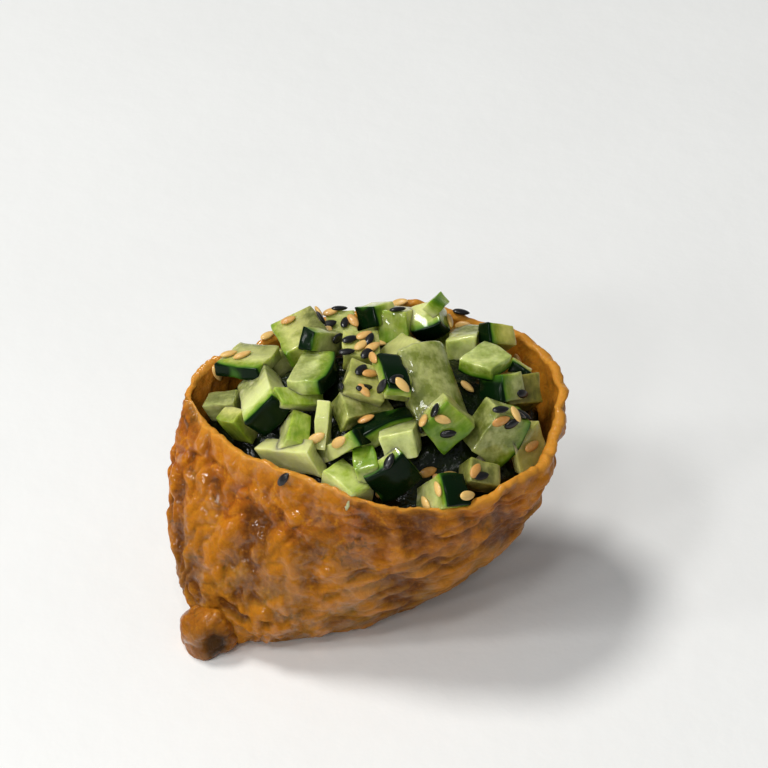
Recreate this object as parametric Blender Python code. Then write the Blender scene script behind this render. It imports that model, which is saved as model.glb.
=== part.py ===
"""Inari sushi: an open pouch of fried tofu, filled with rice and heaped with diced cucumber.

Metres, +Z up. The pouch stands on its flat base with its long axis along X. Its creased corner
points to -X, its low side faces -Y, and a folded ear of tofu hangs from the corner of its base.
"""

import math
import random
from dataclasses import dataclass

import bmesh
import bpy
from mathutils import Euler, Matrix, Vector

MM = 0.001
GAP = 0.3 * MM


@dataclass(frozen=True)
class Growth:
    """How one size changes from the base to the rim; belly is its swelling halfway up."""

    base: float
    rim: float
    power: float
    belly: float = 0.0

    def at(self, level):
        """The size at a level, which is 0 on the base and 1 on the rim."""
        return self.base + (self.rim - self.base) * level**self.power + self.belly * 4 * level * (1 - level)


# The pouch's skin: egg-shaped sections that turn and widen as they rise
HALF_LENGTH = Growth(20.5 * MM, 33.6 * MM, 0.45, 3.0 * MM)
FRONT_WIDTH = Growth(8.8 * MM, 30.7 * MM, 0.85, 0.4 * MM)
BACK_WIDTH = Growth(13.0 * MM, 26.6 * MM, 0.60)
CENTRE_X = Growth(-7.3 * MM, 1.6 * MM, 1.1, 0.6 * MM)
CENTRE_Y = Growth(-7.5 * MM, 2.1 * MM, 1.5)
TURN = Growth(math.radians(22), math.radians(-2.5), 1.1)
CREASE = Growth(0.05, 0.30, 1.2)          # how far the corner at -X is pinched to a point
CREASE_ROUNDING = 0.04
LEAST_FACING = 0.5                        # keeps the wall's thickness in bounds where it flares most

RIM_HEIGHT = 45.0 * MM                    # at the back
FRONT_DIP = 8.0 * MM                      # how much lower the rim is at the front
RIM_WAVE = 0.7 * MM
LIP_ANGLE = math.radians(256)             # where the torn rim stands up as a lip
LIP_WIDTH = math.radians(18)
LIP_RISE = 4.2 * MM
WALL = 2.0 * MM

# Soft upright folds: where round the pouch, how wide, how deep (inwards is negative), and their level
FOLDS = (
    (math.radians(138), math.radians(16), -0.9 * MM, 0.72),
    (math.radians(215), math.radians(16), -0.9 * MM, 0.66),
    (math.radians(238), math.radians(9), 0.8 * MM, 0.40),
    (math.radians(304), math.radians(10), -0.9 * MM, 0.75),
    (math.radians(344), math.radians(9), -1.2 * MM, 0.62),
    (math.radians(62), math.radians(12), -1.3 * MM, 0.70),
)
FOLD_HEIGHT = 0.3

ROUND_STEPS = 60
LEVELS = (0.0, 0.03, 0.08, 0.15, 0.24, 0.34, 0.45, 0.57, 0.69, 0.81, 0.92, 1.0)
BASE_RINGS = (0.7, 0.35)

# The ear at the corner of the base: a drop-shaped tab, narrow where it leaves the pouch
EAR_TOP = Vector((-30.4, -17.6, 8.4)) * MM
EAR_TIP = Vector((-27.9, -22.2, -0.8)) * MM
EAR_NECK = 0.40                           # width of its neck, as a part of its full width
EAR_HALF_WIDTH = 6.6 * MM
EAR_HALF_THICKNESS = 3.2 * MM

# The rice, and the cucumber heaped over it
RICE_LEVEL = 31.0 * MM                    # under the middle of the heap
RICE_SLOPE = 0.27                         # it rises towards the +X end
HEAP_RISE = 12.0 * MM                     # of the heap's middle over its edge
HEAP_FULLNESS = 2.6                       # higher keeps the heap flatter on top
HEAP_RINGS = (0.88, 0.70, 0.48, 0.24)
DICE_SIZE = 8.5 * MM
DICE_STAND_OUT = 2.2 * MM
DICE_SEED = 5
# Rings of dice: how far out, how many, and their size as a part of the full size
DICE_RINGS = ((0.0, 1, 1.0), (0.33, 6, 1.0), (0.61, 11, 0.9), (0.82, 19, 0.5))

# Colours as red, green, blue, then roughness
TOFU_LOOK = (0.42, 0.16, 0.030, 0.42)
RICE_LOOK = (0.78, 0.74, 0.62, 0.40)
CUCUMBER_LOOK = (0.30, 0.42, 0.08, 0.30)


def angle_between(one, other):
    """Smallest turn from one angle to the other."""
    return (one - other + math.pi) % (2 * math.pi) - math.pi


def rim_height(angle):
    """Height of the rim at an angle round the pouch: low at the front, slightly wavy, and with a lip."""
    dip = FRONT_DIP * ((1 - math.sin(angle)) / 2) ** 1.5
    wave = RIM_WAVE * (math.sin(5 * angle + 0.6) + 0.6 * math.sin(9 * angle + 2.0))
    lip = LIP_RISE * math.exp(-((angle_between(angle, LIP_ANGLE) / LIP_WIDTH) ** 2))
    return RIM_HEIGHT - dip + wave - 1.6 * RIM_WAVE + lip


def fold_depth(angle, level):
    """How far the soft folds move the skin outwards at a place."""
    depth = 0.0
    for fold_angle, fold_width, fold_size, fold_level in FOLDS:
        across = angle_between(angle, fold_angle) / fold_width
        along = (level - fold_level) / FOLD_HEIGHT
        depth += fold_size * math.exp(-across * across - along * along)
    return depth


def skin_point(angle, level):
    """A point of the outer skin. Angle 0 is the +X end, and a quarter turn is the back."""
    width = BACK_WIDTH if math.sin(angle) > 0 else FRONT_WIDTH
    pinch = ((1 + math.cos(angle)) / 2 + CREASE_ROUNDING) ** CREASE.at(level)
    spot = Vector((HALF_LENGTH.at(level) * math.cos(angle), width.at(level) * math.sin(angle) * pinch, 0))
    spot += spot.normalized() * fold_depth(angle, level)
    spot.rotate(Euler((0, 0, TURN.at(level))))
    spot += Vector((CENTRE_X.at(level), CENTRE_Y.at(level), level * rim_height(angle)))
    return spot


def bridge_rings(mesh, lower, upper):
    """Join two rings of as many points with quads that face outwards."""
    for step in range(len(lower)):
        after = (step + 1) % len(lower)
        mesh.faces.new((lower[step], lower[after], upper[after], upper[step]))


def close_with_fan(mesh, ring, spot, faces_up):
    """Close a ring with triangles that meet at a point."""
    centre = mesh.verts.new(spot)
    for step in range(len(ring)):
        after = (step + 1) % len(ring)
        corners = (ring[step], ring[after], centre)
        mesh.faces.new(corners if faces_up else corners[::-1])


def shrunken_ring(mesh, ring, centre, part, lift):
    """A ring inside another: part is its size, and lift is how far it stands above it."""
    return [mesh.verts.new(centre.lerp(corner.co, part) + Vector((0, 0, lift))) for corner in ring]


def set_in(rings, inset):
    """Move the rings of a skin in from it: each point goes towards the middle of its section."""
    for level, ring in zip(LEVELS, rings):
        middle = Vector((CENTRE_X.at(level), CENTRE_Y.at(level), 0))
        for corner in ring:
            inward = ((middle - corner.co) * Vector((1, 1, 0))).normalized()
            facing = max(-corner.normal.dot(inward), LEAST_FACING)
            corner.co += inward * inset / facing + Vector((0, 0, inset * (1 - level)))


def add_skin(mesh, inset=0.0):
    """Add the pouch's skin to a mesh, or an inner skin that is set in from it.

    It is closed by the flat base and open at its top. Returns its rings and its faces.
    """
    older_faces = set(mesh.faces)
    angles = [2 * math.pi * step / ROUND_STEPS for step in range(ROUND_STEPS)]
    rings = [[mesh.verts.new(skin_point(angle, level)) for angle in angles] for level in LEVELS]
    for lower, upper in zip(rings, rings[1:]):
        bridge_rings(mesh, lower, upper)
    mesh.normal_update()
    set_in(rings, inset)
    centre = Vector((CENTRE_X.base, CENTRE_Y.base, inset))
    outer = rings[0]
    for part in BASE_RINGS:
        inner = shrunken_ring(mesh, rings[0], centre, part, 0)
        bridge_rings(mesh, inner, outer)
        outer = inner
    close_with_fan(mesh, outer, centre, faces_up=False)
    return rings, [face for face in mesh.faces if face not in older_faces]


def look(name, red, green, blue, roughness):
    """A plain Principled material."""
    material = bpy.data.materials.new(name)
    material.use_nodes = True
    shader = material.node_tree.nodes["Principled BSDF"]
    shader.inputs["Base Color"].default_value = (red, green, blue, 1)
    shader.inputs["Roughness"].default_value = roughness
    shader.inputs["Metallic"].default_value = 0
    return material


def new_object(name, mesh, collection, material=None):
    """Turn a bmesh into an object in a collection."""
    data = bpy.data.meshes.new(name)
    mesh.to_mesh(data)
    mesh.free()
    data.shade_smooth()
    data.set_sharp_from_angle(angle=math.radians(40))
    thing = bpy.data.objects.new(name, data)
    collection.objects.link(thing)
    if material:
        data.materials.append(material)
    return thing


def unite(thing, other, overlaps_itself=False):
    """Join another closed shape onto an object with a Boolean union."""
    union = thing.modifiers.new(other.name, "BOOLEAN")
    union.operation = "UNION"
    union.solver = "EXACT"
    union.use_self = overlaps_itself
    union.object = other
    other.hide_render = True
    other.display_type = "WIRE"


def make_ear(collection):
    """The folded tab at the corner of the base, shaped from a sphere."""
    mesh = bmesh.new()
    bmesh.ops.create_uvsphere(mesh, u_segments=16, v_segments=10, radius=1)
    for corner in mesh.verts:
        neck = EAR_NECK + (1 - EAR_NECK) * (1 - corner.co.z) / 2
        corner.co.x *= EAR_HALF_WIDTH * neck
        corner.co.y *= EAR_HALF_THICKNESS * neck
        corner.co.z *= (EAR_TOP - EAR_TIP).length / 2
    upright = (EAR_TOP - EAR_TIP).to_track_quat("Z", "Y").to_matrix().to_4x4()
    bmesh.ops.transform(mesh, matrix=Matrix.Translation((EAR_TOP + EAR_TIP) / 2) @ upright, verts=mesh.verts)
    for corner in mesh.verts:
        corner.co.z = max(corner.co.z, 0)
    return new_object("ear_shape", mesh, collection)


def make_pouch(collection, shapes):
    """The tofu pouch: an outer and an inner skin joined at the rim, with the ear joined on."""
    mesh = bmesh.new()
    outer_rings, _ = add_skin(mesh)
    inner_rings, inner_faces = add_skin(mesh, inset=WALL)
    bmesh.ops.reverse_faces(mesh, faces=inner_faces)
    bridge_rings(mesh, outer_rings[-1], inner_rings[-1])
    pouch = new_object("tofu_pouch", mesh, collection, look("tofu", *TOFU_LOOK))
    unite(pouch, make_ear(shapes))
    return pouch


def heap_lift(part):
    """How far the heap's dome stands above its edge, where part is 0 in its middle and 1 at its edge."""
    return HEAP_RISE * (1 - part**HEAP_FULLNESS)


def filling_mesh():
    """Everything inside the pouch as one closed shape: the cavity, and the dome of the heap."""
    mesh = bmesh.new()
    rings, _ = add_skin(mesh, inset=WALL + GAP)
    edge = rings[-2]
    bmesh.ops.delete(mesh, geom=rings[-1], context="VERTS")
    centre = sum((corner.co for corner in edge), Vector()) / len(edge)
    outer = edge
    for part in HEAP_RINGS:
        inner = shrunken_ring(mesh, edge, centre, part, heap_lift(part))
        bridge_rings(mesh, outer, inner)
        outer = inner
    close_with_fan(mesh, outer, centre + Vector((0, 0, heap_lift(0))), faces_up=True)
    return mesh, edge, centre


def cut_at_rice(mesh, lift, keep_below):
    """Cut a closed shape along the rice's surface, moved up by lift, and close the cut."""
    up = Vector((-RICE_SLOPE, 0, 1)).normalized()
    spot = Vector((0, 0, RICE_LEVEL)) + up * lift
    everything = mesh.verts[:] + mesh.edges[:] + mesh.faces[:]
    cut = bmesh.ops.bisect_plane(
        mesh, geom=everything, dist=0.01 * MM, plane_co=spot, plane_no=up,
        clear_outer=keep_below, clear_inner=not keep_below)
    edges = [piece for piece in cut["geom_cut"] if isinstance(piece, bmesh.types.BMEdge)]
    bmesh.ops.edgeloop_fill(mesh, edges=edges)
    bmesh.ops.recalc_face_normals(mesh, faces=mesh.faces)


def make_rice(collection):
    """The rice that fills the lower part of the pouch."""
    mesh, _, _ = filling_mesh()
    cut_at_rice(mesh, 0, keep_below=True)
    return new_object("rice_bed", mesh, collection, look("rice", *RICE_LOOK))


def make_dice(edge_spots, centre, collection):
    """The cucumber dice that stand out of the heap's dome."""
    chance = random.Random(DICE_SEED)
    mesh = bmesh.new()
    for part, count, size_part in DICE_RINGS:
        for number in range(count):
            edge_spot = edge_spots[int((number + chance.uniform(0, 0.5)) * len(edge_spots) / count)]
            size = DICE_SIZE * size_part * chance.uniform(0.85, 1.0)
            stand_out = DICE_STAND_OUT * chance.uniform(0.5, 1.0)
            spot = centre.lerp(edge_spot, part) + Vector((0, 0, heap_lift(part) + stand_out - size / 2))
            tilt = Euler((chance.uniform(-0.3, 0.3), chance.uniform(-0.3, 0.3), chance.uniform(0, math.pi)))
            place = Matrix.Translation(spot) @ tilt.to_matrix().to_4x4()
            bmesh.ops.create_cube(mesh, size=size, matrix=place)
    return new_object("dice_shape", mesh, collection)


def make_heap(collection, shapes):
    """The heap of diced cucumber as one solid with its uneven outline, down to the rice."""
    mesh, edge, centre = filling_mesh()
    edge_spots = [corner.co.copy() for corner in edge]
    filling = new_object("filling_shape", mesh, shapes)
    unite(filling, make_dice(edge_spots, centre, shapes), overlaps_itself=True)
    joined = bmesh.new()
    joined.from_object(filling, bpy.context.evaluated_depsgraph_get())
    cut_at_rice(joined, GAP, keep_below=False)
    bpy.data.objects.remove(filling)
    return new_object("cucumber_heap", joined, collection, look("cucumber", *CUCUMBER_LOOK))


def stand_on_origin(things):
    """Move the finished pieces so that the middle of the underside of their box is the origin."""
    bpy.context.view_layer.update()
    graph = bpy.context.evaluated_depsgraph_get()
    spots = [corner.co.copy() for thing in things for corner in thing.evaluated_get(graph).data.vertices]
    middle_x = (min(spot.x for spot in spots) + max(spot.x for spot in spots)) / 2
    middle_y = (min(spot.y for spot in spots) + max(spot.y for spot in spots)) / 2
    for thing in bpy.data.objects:
        thing.location -= Vector((middle_x, middle_y, 0))


def main():
    """Model the sushi in an empty scene."""
    for thing in list(bpy.data.objects):
        bpy.data.objects.remove(thing, do_unlink=True)
    collection = bpy.data.collections.new("inari_sushi")
    shapes = bpy.data.collections.new("joined_shapes")
    bpy.context.scene.collection.children.link(collection)
    bpy.context.scene.collection.children.link(shapes)
    pouch = make_pouch(collection, shapes)
    rice = make_rice(collection)
    heap = make_heap(collection, shapes)
    stand_on_origin((pouch, rice, heap))


main()
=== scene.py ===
"""The looks of an inari sushi: a fried tofu pouch, its rice, diced cucumber and sesame seeds.

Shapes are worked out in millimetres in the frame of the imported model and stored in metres.
"""

import logging
import math
import random
from dataclasses import dataclass, field
from enum import Enum
from functools import lru_cache
from typing import Iterable

import bpy
import numpy as np
from mathutils import Euler, Matrix, Vector, noise
from mathutils.bvhtree import BVHTree


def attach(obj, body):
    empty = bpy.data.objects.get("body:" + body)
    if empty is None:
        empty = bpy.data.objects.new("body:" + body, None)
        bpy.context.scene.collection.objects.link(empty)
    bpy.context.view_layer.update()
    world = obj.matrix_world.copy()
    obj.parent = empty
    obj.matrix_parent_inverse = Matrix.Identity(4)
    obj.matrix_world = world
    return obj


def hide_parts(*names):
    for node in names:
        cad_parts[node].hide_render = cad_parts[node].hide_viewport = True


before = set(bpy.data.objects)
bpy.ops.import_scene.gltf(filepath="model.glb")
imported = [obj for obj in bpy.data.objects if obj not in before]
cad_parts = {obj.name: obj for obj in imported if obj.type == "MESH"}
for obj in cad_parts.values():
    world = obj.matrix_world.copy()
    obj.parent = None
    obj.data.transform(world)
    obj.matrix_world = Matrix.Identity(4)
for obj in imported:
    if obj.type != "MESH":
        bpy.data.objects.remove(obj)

MM = 0.001
TURN_ROUND = 2 * math.pi
CUCUMBER_RADIUS = 14.0

# Noise is brought to about -1 to 1, and each seed takes a part of it that lies far from the others.
NOISE_GAIN = 1.6
NOISE_STEP = np.array([13.7, -7.9, 5.3])
CRINKLE_GAIN = 2.0
CRINKLE_TOP = 1.2

# The points that close a grain or a seed, 2 mm long along X before it is given its size.
END_POINTS = ((-1.0, 0.0, 0.0), (1.0, 0.0, 0.0))

Colour = tuple[float, float, float]
Point = tuple[float, float, float]
Span = tuple[float, float]
Face = tuple[int, ...]
Socket = bpy.types.NodeSocket

log = logging.getLogger("inari")


# ---------------------------------------------------------------------------------------------
# Mesh helpers
# ---------------------------------------------------------------------------------------------

def unit(vectors: np.ndarray, least: float = 1e-12) -> np.ndarray:
    """Scale vectors, one per row, to a length of one."""
    return vectors / np.maximum(np.linalg.norm(vectors, axis=-1, keepdims=True), least)


def lumps(spots: np.ndarray, size: float | Point, seed: int) -> np.ndarray:
    """Smooth noise at many points.

    Args:
        spots: Points in mm, one per row.
        size: Size of one lump in mm, the same each way or one for each axis.
        seed: Which noise to take.

    Returns:
        One value per point, roughly between -1 and 1.
    """
    scaled = spots / np.asarray(size, float) + NOISE_STEP * seed
    return np.array([noise.noise(Vector(spot)) for spot in scaled]) * NOISE_GAIN


def crinkles(spots: np.ndarray, size: float | Point, seed: int) -> np.ndarray:
    """Puffy bumps with narrow creases between them: 0 in a crease, about 1 on a bump."""
    return np.minimum(np.abs(lumps(spots, size, seed)) * CRINKLE_GAIN, CRINKLE_TOP)


@dataclass(frozen=True)
class Layer:
    """One layer of unevenness: how high and how large its lumps are, and which noise it takes."""

    height: float
    size: float | Point
    seed: int

    def lumps(self, spots: np.ndarray) -> np.ndarray:
        """How far its soft lumps raise each spot."""
        return self.height * lumps(spots, self.size, self.seed)

    def crinkles(self, spots: np.ndarray) -> np.ndarray:
        """How far its puffy bumps raise each spot."""
        return self.height * crinkles(spots, self.size, self.seed)

    def moves(self, spots: np.ndarray) -> np.ndarray:
        """How far its lumps move each spot along X, Y and Z, by three noises that follow each other."""
        ways = [lumps(spots, self.size, self.seed + axis) for axis in range(3)]
        return self.height * np.stack(ways, axis=1)


def smooth_step(values: np.ndarray, low: float, high: float) -> np.ndarray:
    """0 below low, 1 above high, and a soft rise between them."""
    part = np.clip((values - low) / (high - low), 0, 1)
    return part * part * (3 - 2 * part)


def full_turn(steps: int) -> np.ndarray:
    """Angles of one turn in equal steps, in radians."""
    return np.linspace(0, TURN_ROUND, steps, endpoint=False)


def ring_grid(first: float, last: float, rows: int, columns: int) -> tuple[np.ndarray, np.ndarray]:
    """For a tube, a value that runs from ring to ring, and the angle of each column."""
    return np.meshgrid(np.linspace(first, last, rows), full_turn(columns), indexing="ij")


def around(one: np.ndarray, other: float) -> np.ndarray:
    """Smallest turn between angles, in radians."""
    return (one - other + math.pi) % TURN_ROUND - math.pi


def away_from(angle: np.ndarray, middle: float, near: float, far: float) -> np.ndarray:
    """0 up to near degrees from a middle angle, 1 beyond far degrees; angle is in radians."""
    return smooth_step(np.abs(around(angle, math.radians(middle))), math.radians(near), math.radians(far))


def tube_faces(rows: int, columns: int) -> list[Face]:
    """Faces of a tube of rings that is closed at both ends.

    Args:
        rows: Number of rings, which run up its outside.
        columns: Points in each ring.

    Returns:
        Quads between the rings, and triangles to the two end points, which follow the rings' points.
    """
    steps = [(column, (column + 1) % columns) for column in range(columns)]
    faces: list[Face] = []
    for low in range(0, (rows - 1) * columns, columns):
        high = low + columns
        faces += [(low + column, low + after, high + after, high + column) for column, after in steps]
    last, first_end = (rows - 1) * columns, rows * columns
    faces += [(after, column, first_end) for column, after in steps]
    faces += [(last + column, last + after, first_end + 1) for column, after in steps]
    return faces


def with_ends(numbers: np.ndarray, columns: int) -> np.ndarray:
    """Add to a tube's points or values the means of its first and its last ring."""
    return np.concatenate([numbers, [numbers[:columns].mean(axis=0)], [numbers[-columns:].mean(axis=0)]])


@dataclass
class MeshMaker:
    """Collects points in mm, faces and values per point, and makes one object of them."""

    points: list[np.ndarray] = field(default_factory=list)
    faces: list[Face] = field(default_factory=list)
    values: dict[str, list[np.ndarray]] = field(default_factory=dict)
    count: int = 0

    def add(self, points: np.ndarray, faces: Iterable[Face], **values: np.ndarray) -> None:
        """Add one more shape.

        Args:
            points: Its points in mm.
            faces: Its faces, as indices into these points.
            **values: Numbers or vectors for each of the points, by the attribute's name.
        """
        self.faces.extend(tuple(index + self.count for index in face) for face in faces)
        self.points.append(points)
        self.count += len(points)
        for name, value in values.items():
            self.values.setdefault(name, []).append(value)

    def add_tube(self, points: np.ndarray, columns: int, **values: np.ndarray) -> None:
        """Add a tube of rings, closed by a point in the middle of its first and its last ring.

        Args:
            points: The rings' points in mm, ring after ring.
            columns: Points in each ring.
            **values: Numbers for each of the points, by the attribute's name.
        """
        closed = {name: with_ends(value, columns) for name, value in values.items()}
        self.add(with_ends(points, columns), tube_faces(len(points) // columns, columns), **closed)

    def build(self, name: str, material: bpy.types.Material) -> bpy.types.Object:
        """Make the object.

        Args:
            name: The piece's name.
            material: Its finish.

        Returns:
            The new smooth-shaded object, in metres.
        """
        data = bpy.data.meshes.new(name)
        data.from_pydata((np.concatenate(self.points) * MM).tolist(), [], self.faces)
        for value_name, parts in self.values.items():
            numbers = np.concatenate(parts)
            kind, key = ("FLOAT_VECTOR", "vector") if numbers.ndim == 2 else ("FLOAT", "value")
            attribute = data.attributes.new(value_name, kind, "POINT")
            attribute.data.foreach_set(key, numbers.astype(np.float32).ravel())
        data.shade_smooth()
        data.materials.append(material)
        data.validate()
        thing = bpy.data.objects.new(name, data)
        bpy.context.scene.collection.objects.link(thing)
        return thing


# ---------------------------------------------------------------------------------------------
# Materials
# ---------------------------------------------------------------------------------------------

class Recipe:
    """The node tree of one finish, around a Principled shader."""

    def __init__(self, name: str) -> None:
        """Start a material with an empty recipe.

        Args:
            name: The finish's name.
        """
        self.material = bpy.data.materials.new(name)
        self.material.use_nodes = True
        self.tree = self.material.node_tree
        self.shader = self.tree.nodes["Principled BSDF"]
        self.place = self.node("ShaderNodeTexCoord").outputs["Object"]

    def node(self, kind: str, **settings: object) -> bpy.types.Node:
        """Add a node.

        Args:
            kind: Its type.
            **settings: Its own properties, by name.

        Returns:
            The new node.
        """
        made = self.tree.nodes.new(kind)
        for name, value in settings.items():
            setattr(made, name, value)
        return made

    def feed(self, socket: Socket, source: object) -> None:
        """Link a socket to another, or give it a plain value.

        Args:
            socket: The socket to feed.
            source: Another node's socket, or a value.
        """
        if isinstance(source, Socket):
            self.tree.links.new(source, socket)
        else:
            socket.default_value = source

    def maths(self, operation: str, *sources: object) -> Socket:
        """Work out a number with a Math node.

        Args:
            operation: What it does.
            *sources: Its sockets or plain numbers.

        Returns:
            The result.
        """
        made = self.node("ShaderNodeMath", operation=operation)
        for socket, source in zip(made.inputs, sources):
            self.feed(socket, source)
        return made.outputs[0]

    def times(self, one: object, other: object) -> Socket:
        """One value times another."""
        return self.maths("MULTIPLY", one, other)

    def value(self, name: str) -> Socket:
        """A number kept with each point of the mesh."""
        return self.node("ShaderNodeAttribute", attribute_name=name).outputs["Fac"]

    def stretched(self, source: Socket, scale: Point) -> Socket:
        """Stretch or squeeze coordinates.

        Args:
            source: The coordinates.
            scale: What they are multiplied by along each axis.

        Returns:
            The new coordinates.
        """
        made = self.node("ShaderNodeMapping")
        self.feed(made.inputs["Vector"], source)
        made.inputs["Scale"].default_value = scale
        return made.outputs[0]

    def cloud(self, size_mm: float, detail: float = 3.0, roughness: float = 0.55, distortion: float = 0.0,
              place: Socket | None = None, unit_mm: float = 1 / MM) -> Socket:
        """Noise between 0 and 1.

        Args:
            size_mm: Size of its lumps.
            detail: How many finer layers it has.
            roughness: How much the finer layers show.
            distortion: How far its lumps are drawn out.
            place: Coordinates, or None for the object's own.
            unit_mm: How long one unit of the coordinates is.

        Returns:
            The noise.
        """
        made = self.node("ShaderNodeTexNoise")
        self.feed(made.inputs["Vector"], place or self.place)
        made.inputs["Scale"].default_value = unit_mm / size_mm
        made.inputs["Detail"].default_value = detail
        made.inputs["Roughness"].default_value = roughness
        made.inputs["Distortion"].default_value = distortion
        return made.outputs["Fac"]

    def cells(self, place: Socket) -> Socket:
        """Fill space with cells, about one to each unit.

        Args:
            place: Coordinates.

        Returns:
            The distance to the middle of the nearest cell.
        """
        made = self.node("ShaderNodeTexVoronoi", feature="F1")
        self.feed(made.inputs["Vector"], place)
        made.inputs["Scale"].default_value = 1.0
        return made.outputs["Distance"]

    def ramp(self, source: Socket, stops: Iterable[tuple[float, Colour]]) -> Socket:
        """Colours along a value.

        Args:
            source: The value, from 0 to 1.
            stops: Where each colour stands along it.

        Returns:
            The colour.
        """
        made = self.node("ShaderNodeValToRGB")
        self.feed(made.inputs[0], source)
        # A new ramp already has two stops.
        elements = made.color_ramp.elements
        for number, (spot, colour) in enumerate(stops):
            element = elements[number] if number < 2 else elements.new(spot)
            element.position = spot
            element.color = (*colour, 1)
        return made.outputs[0]

    def between(self, source: object, low: float, high: float, new_low: float = 0.0,
                new_high: float = 1.0) -> Socket:
        """Bring a value from one range to another.

        Args:
            source: The value.
            low: Where it begins to count.
            high: Where it counts in full.
            new_low: What low becomes.
            new_high: What high becomes.

        Returns:
            The new value, which stays between new_low and new_high.
        """
        made = self.node("ShaderNodeMapRange")
        for socket, number in zip(made.inputs, (source, low, high, new_low, new_high)):
            self.feed(socket, number)
        return made.outputs[0]

    def blend(self, part: object, one: object, other: object, kind: str = "MIX") -> Socket:
        """Mix two colours.

        Args:
            part: 0 for the first colour only, 1 for the whole effect of the other.
            one: The first colour.
            other: The second colour.
            kind: How the second acts on the first.

        Returns:
            The mixed colour.
        """
        made = self.node("ShaderNodeMix", data_type="RGBA", blend_type=kind)
        self.feed(made.inputs[0], part)
        for socket, colour in ((made.inputs[6], one), (made.inputs[7], other)):
            self.feed(socket, colour if isinstance(colour, Socket) else (*colour, 1))
        return made.outputs[2]

    def tinted(self, part: object, colour: Socket, tint: Colour) -> Socket:
        """A colour multiplied by a tint where part is 1."""
        return self.blend(part, colour, self.blend(1.0, colour, tint, kind="MULTIPLY"))

    def bump(self, height: Socket, depth_mm: float, before: Socket | None = None,
             strength: float = 1.0) -> Socket:
        """Relief too fine for the mesh.

        Args:
            height: Its height, from 0 to 1.
            depth_mm: How deep it is.
            before: A relief that it lies on.
            strength: How much of it shows.

        Returns:
            The surface's new direction.
        """
        made = self.node("ShaderNodeBump")
        made.inputs["Strength"].default_value = strength
        made.inputs["Distance"].default_value = depth_mm * MM
        self.feed(made.inputs["Height"], height)
        if before:
            self.feed(made.inputs["Normal"], before)
        return made.outputs[0]

    def set(self, **sources: object) -> None:
        """Set the shader's sockets.

        Args:
            **sources: Sockets or values, by the socket's name with _ for spaces.
        """
        for name, source in sources.items():
            socket = self.shader.inputs[name.replace("_", " ")]
            if isinstance(source, tuple) and socket.type == "RGBA":
                source = (*source, 1)
            self.feed(socket, source)


@dataclass(frozen=True)
class TofuFinish:
    """Moist fried tofu skin, amber and brown in patches and pale at its torn rim, with painted highlight
    golden on its ridges and bumps, painted shade brown in its creases and near black in the ear's hollow.
    """

    golden: Colour = (0.54, 0.188, 0.005)
    amber: Colour = (0.32, 0.080, 0.002)
    brown: Colour = (0.105, 0.025, 0.001)
    olive: Colour = (0.23, 0.120, 0.010)
    rim: Colour = (0.66, 0.29, 0.035)
    # Painted shade: the near-black colour of the ear's shaded hollow.
    hollow_shade_colour: Colour = (0.030, 0.011, 0.003)

    def build(self) -> bpy.types.Material:
        """Make the material.

        Returns:
            The finish, which reads relief, tone, rim, steeping and moist from the mesh; relief and steeping
            drive painted shade and painted highlight.
        """
        recipe = Recipe("fried_tofu")
        broad = recipe.cloud(8.0)
        patches = recipe.cloud(3.0, detail=5, roughness=0.6, distortion=1.0)
        veiny = recipe.between(recipe.cloud(2.2, distortion=0.8), 0.3, 0.7, -1.0, 1.0)
        veins = recipe.maths("ABSOLUTE", veiny)
        grain = recipe.cloud(0.7, roughness=0.6)
        relief, tone = recipe.value("relief"), recipe.value("tone")
        # Each step lays one more tint over the last.
        warm = recipe.ramp(recipe.between(patches, 0.34, 0.66),
                           [(0.0, self.brown), (0.30, self.amber), (0.65, self.amber), (1.0, self.golden)])
        cooler = recipe.blend(0.75, warm, self.olive)
        toned = recipe.blend(recipe.times(tone, recipe.between(broad, 0.3, 0.6, 0.6, 1.0)), cooler, warm)
        # Painted shade: the creases of the relief are darkened brown; painted highlight: its ridges are
        # turned golden.
        creased = recipe.blend(recipe.between(relief, 0.50, 0.0, 0.0, 0.90), toned, self.brown)
        raised = recipe.blend(recipe.between(relief, 0.62, 1.10, 0.0, 0.65), creased, self.golden)
        # Painted shade brown in the creases of the fine vein bump, and painted highlight golden on the tops
        # of the grain bump.
        vein_shaded = recipe.blend(recipe.between(veins, 0.22, 0.0, 0.0, 0.18), raised, self.brown)
        grain_highlighted = recipe.blend(recipe.between(grain, 0.48, 0.72, 0.0, 0.30), vein_shaded, self.golden)
        # Pale at the torn rim, and painted highlight on the ear's ridge and knob.
        rimmed = recipe.blend(recipe.times(recipe.value("rim"), 0.8), grain_highlighted, self.rim)
        # Painted shade: the ear's hollow is darkened nearly to black.
        colour = recipe.blend(recipe.value("steeping"), rimmed, self.hollow_shade_colour)
        soft = recipe.bump(grain, 0.09, before=recipe.bump(veins, 0.06))
        beads = recipe.bump(recipe.cloud(1.5, detail=0), 0.26)
        wet = recipe.cloud(3.6, detail=4, roughness=0.65)
        glossy = recipe.times(recipe.between(wet, 0.45, 0.54, 0.0, 0.8), recipe.value("moist"))
        recipe.set(Base_Color=colour, Roughness=recipe.between(wet, 0.40, 0.60, 0.55, 0.40), Normal=soft,
                   Specular_IOR_Level=0.22, Specular_Tint=(1.0, 0.70, 0.40),
                   Coat_Weight=glossy, Coat_Roughness=0.08, Coat_IOR=1.45, Coat_Normal=beads,
                   Subsurface_Weight=0.25, Subsurface_Radius=(1.0, 0.40, 0.12), Subsurface_Scale=1.0 * MM)
        return recipe.material


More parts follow.
